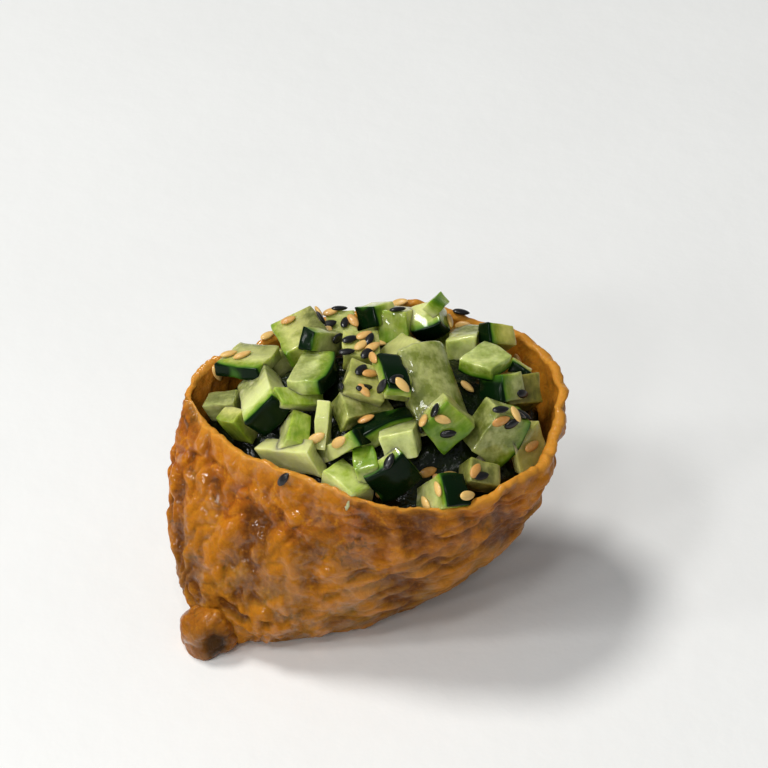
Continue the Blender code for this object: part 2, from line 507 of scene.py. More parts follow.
@dataclass(frozen=True)
class CucumberFinish:
    """Wet cucumber, coloured by the depth under its skin, and darkened towards a clearer olive in blotches:
    painted shade on deep and shaded dice, with some of the look of dressing soaking into the flesh.
    """

    peel: Colour = (0.0025, 0.012, 0.0025)
    under_peel: Colour = (0.035, 0.115, 0.006)
    bright: Colour = (0.17, 0.31, 0.012)
    fresh: Colour = (0.38, 0.50, 0.050)
    flesh: Colour = (0.78, 0.83, 0.34)
    inner: Colour = (0.64, 0.66, 0.27)
    core: Colour = (0.26, 0.28, 0.09)
    seed: Colour = (0.55, 0.54, 0.28)
    ripe: Colour = (0.86, 0.68, 0.26)
    # Painted shade: the olive that shaded and deep dice are darkened towards, partly the look of flesh
    # soaking in dressing.
    soaked: Colour = (0.30, 0.35, 0.12)
    deepest: float = 12.0

    def build(self) -> bpy.types.Material:
        """Make the material.

        Returns:
            The finish, which reads each point's place in the cucumber, cut_place, and tone and soak.
        """
        recipe = Recipe("cucumber")
        place = recipe.node("ShaderNodeAttribute", attribute_name="cut_place").outputs["Vector"]
        depth = self.depth(recipe, place)
        colour = recipe.ramp(recipe.maths("DIVIDE", depth, self.deepest), [
            (0.0, self.peel), (0.022, self.peel), (0.036, self.under_peel), (0.075, self.bright),
            (0.14, self.fresh), (0.27, self.flesh), (0.52, self.inner), (0.70, self.core), (1.0, self.core)])
        fibres = recipe.cloud(1.0, place=recipe.stretched(place, (1.3, 1.3, 0.30)), unit_mm=1.0)
        pale = recipe.blend(recipe.between(fibres, 0.45, 0.75, 0.0, 0.40), colour, self.flesh)
        seeds = recipe.between(recipe.cells(recipe.stretched(place, (0.42, 0.42, 0.30))), 0.34, 0.22)
        seeded = recipe.blend(recipe.times(recipe.between(depth, 6.5, 8.0), seeds), pale, self.seed)
        ripened = recipe.tinted(recipe.value("tone"), seeded, self.ripe)
        blotches = recipe.between(recipe.cloud(2.6, roughness=0.6), 0.38, 0.62, 0.35, 1.0)
        # Painted shade, with some soaking in dressing: each die's share darkens its flesh in blotches.
        soaked = recipe.tinted(recipe.times(recipe.value("soak"), blotches), ripened, self.soaked)
        final = recipe.blend(recipe.between(depth, 0.5, 1.6), colour, soaked)
        grain = recipe.cloud(1.0, detail=4, roughness=0.6, place=recipe.stretched(place, (2.2, 2.2, 1.2)),
                             unit_mm=1.0)
        under_skin = recipe.between(depth, 0.3, 1.0)
        cut = recipe.bump(recipe.times(grain, under_skin), 0.12, strength=0.8)
        drops = recipe.bump(recipe.cloud(1.2, detail=0), 0.07)
        recipe.set(Base_Color=final, Roughness=recipe.between(depth, 0.2, 0.6, 0.22, 0.34), Normal=cut,
                   Specular_IOR_Level=recipe.between(depth, 0.3, 1.0, 0.08, 0.22),
                   Coat_Weight=recipe.between(depth, 0.3, 1.0, 0.06, 0.65), Coat_Roughness=0.05,
                   Coat_Normal=drops, Subsurface_Weight=recipe.between(depth, 0.4, 1.6, 0.0, 0.80),
                   Subsurface_Radius=(0.9, 1.0, 0.40), Subsurface_Scale=2.6 * MM)
        return recipe.material

    def depth(self, recipe: Recipe, place: Socket) -> Socket:
        """How far each spot lies under the cucumber's skin.

        Args:
            recipe: The recipe to add it to.
            place: The spot's place in the cucumber, in mm, with Z along it.

        Returns:
            The depth in mm, which wavers a little below the skin.
        """
        parts = recipe.node("ShaderNodeSeparateXYZ")
        recipe.feed(parts.inputs[0], place)
        squares = (recipe.maths("POWER", parts.outputs[axis], 2.0) for axis in (0, 1))
        from_middle = recipe.maths("SQRT", recipe.maths("ADD", *squares))
        waver = recipe.between(recipe.cloud(2.2), 0.3, 0.7, -0.6, 0.6)
        inside = recipe.between(from_middle, CUCUMBER_RADIUS - 0.4, CUCUMBER_RADIUS - 1.6)
        straight = recipe.maths("SUBTRACT", CUCUMBER_RADIUS, from_middle)
        return recipe.maths("ADD", straight, recipe.times(waver, inside))


class SeedKind(Enum):
    """The two kinds of sesame seed."""

    WHITE = "white_sesame"
    BLACK = "black_sesame"


@dataclass(frozen=True)
class SesameFinish:
    """Sesame seeds, each with its own amount of toasting."""

    kind: SeedKind
    light: Colour
    dark: Colour
    roughness: float
    coat: float

    def build(self) -> bpy.types.Material:
        """Make the material.

        Returns:
            The finish, which reads toast from the mesh.
        """
        recipe = Recipe(self.kind.value)
        mottles = recipe.between(recipe.cloud(0.8), 0.3, 0.7, -0.18, 0.18)
        colour = recipe.ramp(recipe.maths("ADD", recipe.value("toast"), mottles),
                             [(0.0, self.light), (1.0, self.dark)])
        recipe.set(Base_Color=colour, Roughness=self.roughness, Specular_IOR_Level=0.25,
                   Normal=recipe.bump(recipe.cloud(0.22), 0.05), Coat_Weight=self.coat, Coat_Roughness=0.12,
                   Subsurface_Weight=0.12, Subsurface_Radius=(0.6, 0.4, 0.2), Subsurface_Scale=0.6 * MM)
        return recipe.material


@dataclass(frozen=True)
class RiceFinish:
    """Cooked, seasoned rice: milky, with clearer patches."""

    milky: Colour = (0.66, 0.60, 0.44)
    clear: Colour = (0.50, 0.41, 0.24)

    def build(self) -> bpy.types.Material:
        """Make the material.

        Returns:
            The finish.
        """
        recipe = Recipe("rice")
        colour = recipe.ramp(recipe.cloud(1.6), [(0.3, self.clear), (0.7, self.milky)])
        recipe.set(Base_Color=colour, Roughness=0.3, Normal=recipe.bump(recipe.cloud(0.5, detail=2), 0.06),
                   Coat_Weight=0.5, Coat_Roughness=0.1, Subsurface_Weight=0.5,
                   Subsurface_Radius=(1.0, 0.8, 0.5), Subsurface_Scale=1.5 * MM)
        return recipe.material


@dataclass(frozen=True)
class DepthShadeFinish:
    """The wet depth of the heap between its dice, near black as painted shade."""

    # Painted shade: near-black colours that make the gaps between the dice dark.
    deep: Colour = (0.003, 0.005, 0.002)
    green: Colour = (0.012, 0.022, 0.005)

    def build(self) -> bpy.types.Material:
        """Make the material.

        Returns:
            The finish.
        """
        recipe = Recipe("cucumber_shade_depth")
        colour = recipe.ramp(recipe.cloud(3.5), [(0.35, self.deep), (0.75, self.green)])
        recipe.set(Base_Color=colour, Roughness=0.22, Specular_IOR_Level=0.35,
                   Normal=recipe.bump(recipe.cloud(1.4, detail=2), 0.45))
        return recipe.material


# ---------------------------------------------------------------------------------------------
# The pouch
# ---------------------------------------------------------------------------------------------

@dataclass(frozen=True)
class Growth:
    """A size that changes from the pouch's base to its rim."""

    base: float
    rim: float
    power: float = 1.0
    belly: float = 0.0

    def at(self, level: np.ndarray) -> np.ndarray:
        """The size at a level, 0 at the base and 1 at the rim."""
        return self.base + (self.rim - self.base) * level ** self.power + self.belly * 4 * level * (1 - level)


@dataclass(frozen=True)
class Fold:
    """A broad swelling of the skin, or a hollow where its rise is below zero."""

    angle: float
    width: float
    rise: float
    level: float


@dataclass(frozen=True)
class PouchForm:
    """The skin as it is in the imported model: 0 degrees at its wide end, 270 at its front."""

    half_length: Growth = Growth(20.5, 33.6, 0.45, 3.0)
    front_width: Growth = Growth(8.8, 30.7, 0.85, 0.4)
    back_width: Growth = Growth(13.0, 26.6, 0.60)
    centre_x: Growth = Growth(-7.3, 1.6, 1.1, 0.6)
    centre_y: Growth = Growth(-7.5, 2.1, 1.5)
    turn: Growth = Growth(math.radians(22), math.radians(-2.5), 1.1)
    crease: Growth = Growth(0.05, 0.30, 1.2)
    crease_rounding: float = 0.04
    height: float = 45.0
    front_dip: float = 8.0
    dip_power: float = 1.5
    rim_wave: float = 0.7
    rim_waves: tuple[Point, ...] = ((1.0, 5, 0.6), (0.6, 9, 2.0))
    lip_angle: float = math.radians(256)
    lip_width: float = math.radians(18)
    lip_rise: float = 4.2
    wall: float = 2.0
    least_facing: float = 0.5
    fold_height: float = 0.3
    folds: tuple[Fold, ...] = (
        Fold(138, 16, -0.9, 0.72), Fold(215, 16, -0.9, 0.66), Fold(238, 9, 0.8, 0.40),
        Fold(304, 10, -0.9, 0.75), Fold(344, 9, -1.2, 0.62), Fold(62, 12, -1.3, 0.70))

    def rim_height(self, angle: np.ndarray) -> np.ndarray:
        """Work out how high the rim is.

        Args:
            angle: Angles round the pouch, in radians.

        Returns:
            The heights in mm.
        """
        wave = sum(share * (np.sin(count * angle + start) - 1) for share, count, start in self.rim_waves)
        dip = self.front_dip * ((1 - np.sin(angle)) / 2) ** self.dip_power
        lip = self.lip_rise * np.exp(-(around(angle, self.lip_angle) / self.lip_width) ** 2)
        return self.height - dip + self.rim_wave * wave + lip

    def middle(self, level: np.ndarray) -> np.ndarray:
        """Plan place of the middle of the section at a level."""
        return np.stack([self.centre_x.at(level), self.centre_y.at(level)], axis=-1)

    def skin(self, angle: np.ndarray, level: np.ndarray) -> np.ndarray:
        """Points of the outer skin.

        Args:
            angle: Angles round the pouch, in radians.
            level: Levels from base to rim, of the same shape.

        Returns:
            The points in mm, in an array with one more axis.
        """
        width = np.where(np.sin(angle) > 0, self.back_width.at(level), self.front_width.at(level))
        pinch = ((1 + np.cos(angle)) / 2 + self.crease_rounding) ** self.crease.at(level)
        across, along = self.half_length.at(level) * np.cos(angle), width * pinch * np.sin(angle)
        swell = np.zeros_like(across)
        for fold in self.folds:
            off = around(angle, math.radians(fold.angle)) / math.radians(fold.width)
            swell += fold.rise * np.exp(-off ** 2 - ((level - fold.level) / self.fold_height) ** 2)
        growth = 1 + swell / np.hypot(across, along)
        across, along = across * growth, along * growth
        turn, middle = self.turn.at(level), self.middle(level)
        return np.stack([middle[..., 0] + across * np.cos(turn) - along * np.sin(turn),
                         middle[..., 1] + across * np.sin(turn) + along * np.cos(turn),
                         level * self.rim_height(angle)], axis=-1)

    def outward(self, angle: np.ndarray, level: np.ndarray, step: float = 0.004) -> np.ndarray:
        """Work out which way the skin faces.

        Args:
            angle: Angles round the pouch, in radians.
            level: Levels from base to rim.
            step: How far apart two spots are that are compared, as an angle and as a level.

        Returns:
            Directions with a length of one.
        """
        round_it = self.skin(angle + step, level) - self.skin(angle - step, level)
        up_it = self.skin(angle, np.minimum(level + step, 1)) - self.skin(angle, np.maximum(level - step, 0))
        return unit(np.cross(round_it, up_it))

    def inner(self, angle: np.ndarray, level: np.ndarray, inset: float | np.ndarray) -> np.ndarray:
        """Points inside the skin, moved towards the middle of their section.

        Args:
            angle: Angles round the pouch, in radians.
            level: Levels from base to rim.
            inset: How far under the skin they are, in mm.

        Returns:
            The points in mm.
        """
        skin, normal = self.skin(angle, level), self.outward(angle, level)
        inward = np.zeros_like(skin)
        inward[..., :2] = self.middle(level) - skin[..., :2]
        inward = unit(inward)
        sloping = np.maximum(-(normal * inward).sum(axis=-1), self.least_facing)
        moved = skin + inward * (inset / sloping)[..., None]
        moved[..., 2] += inset * (1 - level)
        return moved


@dataclass(frozen=True)
class Crease:
    """A groove drawn over the skin between two spots, or a ridge where its depth is below zero."""

    angle: float
    level: float
    to_angle: float
    to_level: float
    width: float
    depth: float
    shoulder: float = 0.35
    shoulder_away: float = 1.9
    shoulder_width: float = 0.8

    def relief(self, angle: np.ndarray, level: np.ndarray, mm_per_degree: float, height: float) -> np.ndarray:
        """How far it lets the skin sink, below zero, or stand out.

        Args:
            angle: Angles round the pouch, in degrees.
            level: Levels from base to rim.
            mm_per_degree: Length of one degree round the skin.
            height: Height of the skin in mm.

        Returns:
            The moves in mm.
        """
        run = np.array([(self.to_angle - self.angle) * mm_per_degree, (self.to_level - self.level) * height])
        across = (angle - self.angle) * mm_per_degree
        upward = (level - self.level) * height
        part = np.clip((across * run[0] + upward * run[1]) / (run @ run), 0, 1)
        away = np.hypot(across - part * run[0], upward - part * run[1]) / self.width
        shoulders = self.shoulder * np.exp(-((away - self.shoulder_away) / self.shoulder_width) ** 2)
        return -self.depth * (np.exp(-away ** 2) - shoulders)


@dataclass(frozen=True)
class SkinRing:
    """One ring of the pouch's wall; inside is 0 on the outer skin and 1 on the inner one."""

    points: np.ndarray
    outward: np.ndarray
    level: np.ndarray
    inside: float


@dataclass
class TofuPouch:
    """The pouch's wall: one closed skin, wrinkled, with a torn, rounded rim."""

    form: PouchForm
    steps_round: int = 480
    outer_rows: int = 140
    row_crowding: float = 0.95
    rim_rows: int = 7
    inner_rows: int = 34
    inner_floor: float = 0.35
    foot_sink: float = 0.25
    smooth_foot: float = 0.05
    # The wall, thinner where its rim is torn, and the rim itself.
    torn_front: float = 240.0
    torn_front_spread: Span = (45, 85)
    thin_wall: float = 0.42
    thickening: float = 0.42
    thickening_radius: float = 20.0
    thickening_lumps: Layer = Layer(0.16, 6.0, 8)
    inner_thickening: float = 0.3
    rim_radius: float = 28.0
    short_tears: Layer = Layer(0.45, 2.6, 9)
    long_tears: Layer = Layer(0.36, 7.0, 10)
    fraying: Layer = Layer(0.27, 0.9, 7)
    torn_from: float = 0.90
    rim_fade: float = 0.8
    inner_paleness: float = 0.35
    # Wrinkles, which lie level at the wide end and stand upright at the creased end.
    inner_relief: float = 0.6
    creased_end: float = 190.0
    creased_end_spread: Span = (40, 100)
    warp: Layer = Layer(1.3, 4.5, 12)
    coarse_dents: Layer = Layer(0.60, 9.0, 1)
    small_dents: Layer = Layer(0.45, 4.5, 2)
    upright_crinkles: Layer = Layer(0.42, (2.6, 2.6, 6.5), 3)
    level_crinkles: Layer = Layer(0.42, (7.0, 7.0, 2.6), 4)
    fine_crinkles: Layer = Layer(0.12, 1.5, 5)
    crinkle_sink: float = 0.27
    mm_per_degree: float = 0.5
    # Colour and wetness.
    least_golden: float = 0.25
    golden_rise: float = 0.75
    golden_levels: Span = (0.35, 0.95)
    golden_angle: float = math.radians(200)
    golden_end: float = 0.35
    golden_patches: Layer = Layer(0.25, 6.0, 11)
    dryness: float = 0.65
    drying: Span = (-6.0, 16.0)
    # Creases: the drawn ones, and the ranges of the others.
    creases: tuple[Crease, ...] = ()
    back_creases: int = 26
    back_angles: Span = (-45, 195)
    back_levels: Span = (0.15, 0.85)
    back_leans: Span = (-14, 14)
    back_rises: Span = (-0.25, 0.25)
    back_widths: Span = (1.0, 2.2)
    back_depths: tuple[float, ...] = (-0.5, 0.4, 0.5)
    seed: int = 17
    name: str = "tofu_skin"

    def __post_init__(self) -> None:
        """Add creases where none is drawn: on the wide end, the back and the creased end."""
        chance = random.Random(self.seed)
        for _ in range(self.back_creases):
            angle, level = chance.uniform(*self.back_angles) % 360, chance.uniform(*self.back_levels)
            to_angle = angle + chance.uniform(*self.back_leans)
            to_level = level + chance.uniform(*self.back_rises)
            width, depth = chance.uniform(*self.back_widths), chance.choice(self.back_depths)
            self.creases += (Crease(angle, level, to_angle, to_level, width, depth),)

    def build(self, material: bpy.types.Material) -> bpy.types.Object:
        """Make the pouch.

        Args:
            material: The tofu's finish.

        Returns:
            The wrinkled wall, as one piece.
        """
        angle = full_turn(self.steps_round)
        rings = self.rings(angle)
        points = np.concatenate([ring.points for ring in rings])
        outward = np.concatenate([ring.outward for ring in rings])
        level = np.concatenate([ring.level for ring in rings])
        inside = np.repeat([ring.inside for ring in rings], self.steps_round)
        angles = np.tile(angle, len(rings))
        rise = self.wrinkles(points, angles, level)
        shown = np.where(inside > 0.5, self.inner_relief, 1.0) * smooth_step(level, 0.0, self.smooth_foot)
        moved = points + outward * (rise * shown)[:, None]
        moved[:, 2] = np.maximum(moved[:, 2], 0.0)
        below_rim = np.where(inside > 0, 0.0, 1 - level) * self.form.height
        paleness = np.exp(-below_rim / self.rim_fade) * np.where(inside >= 1, self.inner_paleness, 1.0)
        maker = MeshMaker()
        maker.add_tube(moved, self.steps_round, relief=rise + 0.5, rim=paleness,
                       tone=self.tone(points, angles, level), steeping=np.zeros(len(moved)),
                       moist=1 - self.dryness * smooth_step(moved[:, 0], *self.drying))
        return maker.build(self.name, material)

    def rings(self, angle: np.ndarray) -> list[SkinRing]:
        """Lay the wall's rings up the outside, over the rim and down the inside.

        Args:
            angle: Angles of the points in each ring, in radians.

        Returns:
            The rings, still without wrinkles.
        """
        round_it = np.stack([np.cos(angle), np.sin(angle), np.zeros_like(angle)], axis=1)
        at_rim = round_it * self.rim_radius
        past_torn_front = away_from(angle, self.torn_front, *self.torn_front_spread)
        wall = self.form.wall * (self.thin_wall + self.thickening * past_torn_front
                                 + self.thickening_lumps.lumps(round_it * self.thickening_radius))
        torn = self.short_tears.lumps(at_rim) + self.long_tears.lumps(at_rim)
        frayed = self.fraying.lumps(at_rim)
        top = 1 - wall / 2 / self.form.height
        still = np.zeros_like(angle)
        profile = [(level * top, still, still, 0.0)
                   for level in np.linspace(0, 1, self.outer_rows) ** self.row_crowding]
        for step in range(1, self.rim_rows + 1):
            over = step / (self.rim_rows + 1)
            turn = math.pi * over
            profile.append((top, wall / 2 * (1 - math.cos(turn)), wall / 2 * math.sin(turn), over))
        for part in np.linspace(1, self.inner_floor, self.inner_rows):
            inset = wall + (self.form.wall - wall) * smooth_step(1 - part, 0, self.inner_thickening)
            profile.append((top * part, inset, still, 1.0))
        rings = []
        for level, inset, rise, inside in profile:
            points = self.form.inner(angle, level, inset)
            uneven = torn * smooth_step(level, self.torn_from, 1.0) + frayed * math.sin(math.pi * inside)
            points[:, 2] += rise + uneven - self.foot_sink
            rings.append(SkinRing(points, self.form.outward(angle, level), level, inside))
        return rings

    def wrinkles(self, spots: np.ndarray, angle: np.ndarray, level: np.ndarray) -> np.ndarray:
        """Work out how far the skin stands out of its smooth form.

        Args:
            spots: Points of the smooth skin in mm.
            angle: Their angles round the pouch, in radians.
            level: Their levels from base to rim.

        Returns:
            The moves in mm.
        """
        past_creased_end = away_from(angle, self.creased_end, *self.creased_end_spread)
        warped = spots + self.warp.moves(spots)
        dents = self.coarse_dents.lumps(spots) + self.small_dents.lumps(warped)
        upright = self.upright_crinkles.crinkles(warped) * (1 - past_creased_end)
        level_ones = self.level_crinkles.crinkles(warped) * past_creased_end
        crinkled = upright + level_ones + self.fine_crinkles.crinkles(warped) - self.crinkle_sink
        drawn = sum(crease.relief(np.degrees(angle) % 360, level, self.mm_per_degree, self.form.height)
                    for crease in self.creases)
        return dents + crinkled + drawn

    def tone(self, spots: np.ndarray, angle: np.ndarray, level: np.ndarray) -> np.ndarray:
        """Work out how golden the skin is.

        Args:
            spots: Points of the smooth skin in mm.
            angle: Their angles round the pouch, in radians.
            level: Their levels from base to rim.

        Returns:
            1 near the rim and at the creased end, and 0 low at the wide end.
        """
        from_end = np.abs(around(angle, self.golden_angle)) / math.pi
        risen = self.least_golden + self.golden_rise * smooth_step(level, *self.golden_levels)
        near_end = self.golden_end * (self.golden_end - from_end)
        return np.clip(risen + near_end + self.golden_patches.lumps(spots), 0, 1)


@dataclass(frozen=True)
class Side:
    """A side of a rounded lump: the way it faces and how wide it is, for a lump of radius 1."""

    way: Point
    width: float

    def at(self, ways: np.ndarray) -> np.ndarray:
        """1 where directions agree with its way, fading to 0 over its width."""
        return np.exp(-((ways - unit(np.array(self.way))) ** 2).sum(axis=1) / self.width ** 2)


@dataclass
class TofuEar:
    """The corner of the pouch that is folded over beside its foot."""

    centre: Point = (-28.6, -20.0, 3.9)
    half_sizes: Point = (5.2, 3.6, 5.0)
    turn: float = math.radians(-20)
    squareness: float = 0.85
    # The features that its fold leaves.
    hollow: Side = Side((0.60, -0.78, -0.12), 0.58)
    lip: Side = Side((0.05, -0.75, -0.66), 0.45)
    low_ridge: Side = Side((0.02, -0.93, 0.37), 0.26)
    high_ridge: Side = Side((0.20, -0.67, 0.72), 0.26)
    knob: Side = Side((0.32, -0.08, 0.95), 0.36)
    hollow_fullness: float = 1.7
    high_ridge_share: float = 0.9
    hollow_depth: float = 0.9
    ridge_height: float = 0.8
    knob_height: float = 0.9
    lip_height: float = 1.1
    # Its skin.
    swellings: Layer = Layer(0.35, 3.2, 21)
    fine_crinkles: Layer = Layer(0.20, 2.2, 22)
    crinkle_sink: float = 0.10
    # Painted highlight: the lit ridge and knob are paled towards the rim colour.
    ridge_highlight: float = 0.15
    knob_highlight: float = 0.25
    golden: float = 0.7
    # How far painted shade darkens the middle of the hollow.
    deepest_steeping: float = 0.95
    pole_gap: float = 0.02
    rings: int = 70
    steps_round: int = 110
    name: str = "tofu_corner"

    def build(self, material: bpy.types.Material) -> bpy.types.Object:
        """Make the folded corner: a rounded lump with a hollow between its ridge, knob and lip, darkened by
        painted shade, and a ridge and knob paled by painted highlight.

        Args:
            material: The tofu's finish.

        Returns:
            The corner, as one piece.
        """
        tilt, angle = ring_grid(self.pole_gap, math.pi - self.pole_gap, self.rings, self.steps_round)
        ways = np.stack([np.sin(tilt) * np.cos(angle), np.sin(tilt) * np.sin(angle), -np.cos(tilt)], axis=-1)
        ways = ways.reshape(-1, 3)
        spots = np.sign(ways) * np.abs(ways) ** self.squareness * np.array(self.half_sizes)
        hollow = np.minimum(self.hollow_fullness * self.hollow.at(ways), 1.0)
        ridge = self.low_ridge.at(ways) + self.high_ridge_share * self.high_ridge.at(ways)
        knob = self.knob.at(ways)
        rise = self.swellings.lumps(spots) + self.fine_crinkles.crinkles(spots) - self.crinkle_sink
        raised = self.ridge_height * ridge + self.knob_height * knob + self.lip_height * self.lip.at(ways)
        moved = spots + ways * (rise - self.hollow_depth * hollow + raised)[:, None]
        turned = moved @ np.array(Matrix.Rotation(self.turn, 3, "Z")).T + np.array(self.centre)
        turned[:, 2] = np.maximum(turned[:, 2], 0.0)
        maker = MeshMaker()
        # Painted highlight on the ridge and knob is carried by rim, and painted shade in the hollow by
        # steeping.
        maker.add_tube(turned, self.steps_round, relief=rise + 0.5, moist=np.ones(len(turned)),
                       rim=self.ridge_highlight * ridge + self.knob_highlight * knob,
                       tone=np.full(len(turned), self.golden), steeping=self.deepest_steeping * hollow)
        return maker.build(self.name, material)


# ---------------------------------------------------------------------------------------------
# The filling
# ---------------------------------------------------------------------------------------------

@dataclass(frozen=True)
class HeapForm:
    """The domed outline of the filling inside the pouch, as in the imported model."""

    form: PouchForm
    edge_level: float = 0.92
    gap: float = 0.3
    rise: float = 12.0
    fullness: float = 2.6
    rice_level: float = 31.0
    rice_slope: float = 0.27
    steps_round: int = 60

    @property
    def inset(self) -> float:
        """How far the filling's side is under the pouch's skin, in mm."""
        return self.form.wall + self.gap

    def spot(self, angle: np.ndarray, part: np.ndarray, sink: float = 0.0) -> np.ndarray:
        """Points of the dome, or of a smaller one inside it.

        Args:
            angle: Angles round the pouch, in radians.
            part: 0 at the dome's middle and 1 at its edge, of the same shape.
            sink: How far below the dome the points are, in mm.

        Returns:
            The points in mm.
        """
        round_it = full_turn(self.steps_round)
        centre = self.form.inner(round_it, np.full_like(round_it, self.edge_level), self.inset).mean(axis=0)
        edge = self.form.inner(angle, np.full_like(angle, self.edge_level), self.inset)
        spots = centre + (edge - centre) * part[..., None]
        spots[..., 2] += self.rise * (1 - part ** self.fullness) - sink
        return spots

    def rice_height(self, along: np.ndarray) -> np.ndarray:
        """Height of the rice's top, which slopes along X."""
        return self.rice_level + self.rice_slope * along


@dataclass(frozen=True)
class Die:
    """One cut piece of cucumber: its X side is towards the skin, peel_depth mm under it.

    Its ripeness is 0 for fresh green flesh and 1 for flesh that has turned yellowish. Its soak darkens its
    flesh towards a clearer olive, which is painted shade with some of the look of soaking in dressing, and
    bend is how far its ends curl over, in mm.
    """

    at: Point
    size: Point
    turn: Point
    peel_depth: float = 0.0
    ripeness: float = 0.1
    soak: float = 0.1
    bend: float = 0.0


@lru_cache
def cube_lattice(steps: int) -> tuple[np.ndarray, list[Face]]:
    """The surface of a cube from -1 to 1, with finer steps towards its edges.

    Args:
        steps: Number of steps along each edge.

    Returns:
        Its points, and its faces, which face outwards.
    """
    ticks = np.sin(np.linspace(-1, 1, steps + 1) * math.pi / 2)
    points: dict[tuple[float, ...], int] = {}
    faces: list[Face] = []
    for axis in range(3):
        for side in (-1.0, 1.0):
            first, second = ((axis + 1) % 3, (axis + 2) % 3)[::int(side)]
            for row in range(steps):
                for column in range(steps):
                    face = []
                    for up, right in ((0, 0), (0, 1), (1, 1), (1, 0)):
                        spot = [0.0, 0.0, 0.0]
                        spot[axis], spot[first], spot[second] = side, ticks[column + right], ticks[row + up]
                        key = tuple(round(number, 6) for number in spot)
                        face.append(points.setdefault(key, len(points)))
                    faces.append(tuple(face))
    return np.array(list(points)), faces


@dataclass
class CucumberHeap:
    """Diced cucumber: the dice that show at the front, and the rest of the heap behind them."""

    heap: HeapForm
    dice: tuple[Die, ...]
    steps: int = 9
    filler_steps: int = 6
    edge_rounding: float = 0.24
    most_rounding: float = 0.6
    taper: float = 0.12
    unevenness: Layer = Layer(0.27, 3.2, 31)
    noise_step: float = 7.3
    cut_step: float = 5.0
    # The dice that fill the back: rings at a part of the way out, with a number of dice in each.
    filler_rings: tuple[tuple[float, int], ...] = ((0.3, 6), (0.56, 12), (0.76, 18), (0.9, 26))
    ring_turn: float = 3.0
    filler_jitter: Span = (-0.3, 0.3)
    filler_sinks: Span = (1.6, 3.2)
    filler_sizes: Span = (5.0, 8.5)
    edge_from: float = 0.7
    edge_size: float = 0.75
    filler_peels: tuple[float, ...] = (0.0, 0.0, 0.8, 3.0, 6.0)
    filler_ripeness: Span = (0.0, 0.3)
    # Painted shade for the filler dice at the back of the heap, with some soaking.
    filler_soak: Span = (0.4, 0.8)
    filler_spacing: float = 6.0
    # Where they stand, and how far those behind the slab are lowered.
    back_from: float = 11.0
    behind_slab: Span = (3.0, 8.0)
    slab_left: float = -2.0
    slab_clearance: float = 3.0
    seed: int = 11
    name: str = "cucumber_dice"

    def shape(self, die: Die, steps: int, number: int) -> tuple[np.ndarray, np.ndarray, list[Face]]:
        """Work out one die.

        Args:
            die: The die.
            steps: Steps along each edge.
            number: Which die it is, for its own unevenness.

        Returns:
            Its points, each point's place in the whole cucumber, and its faces.
        """
        chance = random.Random(self.seed * 1000 + number)
        cube, faces = cube_lattice(steps)
        half = np.array(die.size) / 2
        rounding = min(self.edge_rounding, half.min() * self.most_rounding)
        spots = cube * half
        kept = np.clip(spots, rounding - half, half - rounding)
        spots = kept + unit(spots - kept) * rounding
        for axis in range(3):
            other = (axis + chance.choice((1, 2))) % 3
            spots[:, axis] *= 1 + chance.uniform(-self.taper, self.taper) * cube[:, other]
        if die.peel_depth == 0:
            spots[:, 0] -= (cube[:, 0] + 1) / 2 * spots[:, 1] ** 2 / (2 * CUCUMBER_RADIUS)
        spots[:, 0] -= die.bend * (spots[:, 1] / half[1]) ** 2
        spots += self.unevenness.moves(spots + number * self.noise_step)
        from_middle = CUCUMBER_RADIUS - die.peel_depth - half[0]
        in_cucumber = spots + np.array([from_middle, 0, number * self.cut_step])
        turn = np.array(Euler([math.radians(angle) for angle in die.turn]).to_matrix())
        return spots @ turn.T + np.array(die.at), in_cucumber, faces

    def fillers(self) -> list[Die]:
        """Choose the dice that fill the back of the heap, and the gap behind the large seedy slab.

        Returns:
            The dice, none of which crowds another one.
        """
        chance = random.Random(self.seed)
        taken = [np.array(die.at) for die in self.dice]
        chosen: list[Die] = []
        for part, count in self.filler_rings:
            share = self.edge_size if part > self.edge_from else 1.0
            for step in range(count):
                off = step + chance.uniform(*self.filler_jitter)
                angle = TURN_ROUND * off / count + part * self.ring_turn
                sink = chance.uniform(*self.filler_sinks)
                spot = self.heap.spot(np.array([angle]), np.array([part]), sink)[0]
                size = tuple(chance.uniform(*self.filler_sizes) * share for _ in range(3))
                turn = tuple(chance.uniform(-180, 180) for _ in range(3))
                peel = chance.choice(self.filler_peels)
                crowded = min(np.linalg.norm(spot - other) for other in taken) < self.filler_spacing
                behind_slab = spot[0] > self.slab_left and self.behind_slab[0] < spot[1] < self.behind_slab[1]
                if crowded or not (behind_slab or spot[1] > self.back_from):
                    continue
                spot[2] -= self.slab_clearance * behind_slab
                taken.append(spot)
                ripeness, soak = chance.uniform(*self.filler_ripeness), chance.uniform(*self.filler_soak)
                chosen.append(Die(tuple(spot), size, turn, peel, ripeness, soak))
        return chosen

    def build(self, material: bpy.types.Material) -> bpy.types.Object:
        """Make all the dice.

        Args:
            material: The cucumber's finish.

        Returns:
            The dice, as one piece.
        """
        maker = MeshMaker()
        plan = [(die, self.steps) for die in self.dice] + [(die, self.filler_steps) for die in self.fillers()]
        for number, (die, steps) in enumerate(plan):
            spots, in_cucumber, faces = self.shape(die, steps, number)
            maker.add(spots, faces, cut_place=in_cucumber, tone=np.full(len(spots), die.ripeness),
                      soak=np.full(len(spots), die.soak))
        return maker.build(self.name, material)


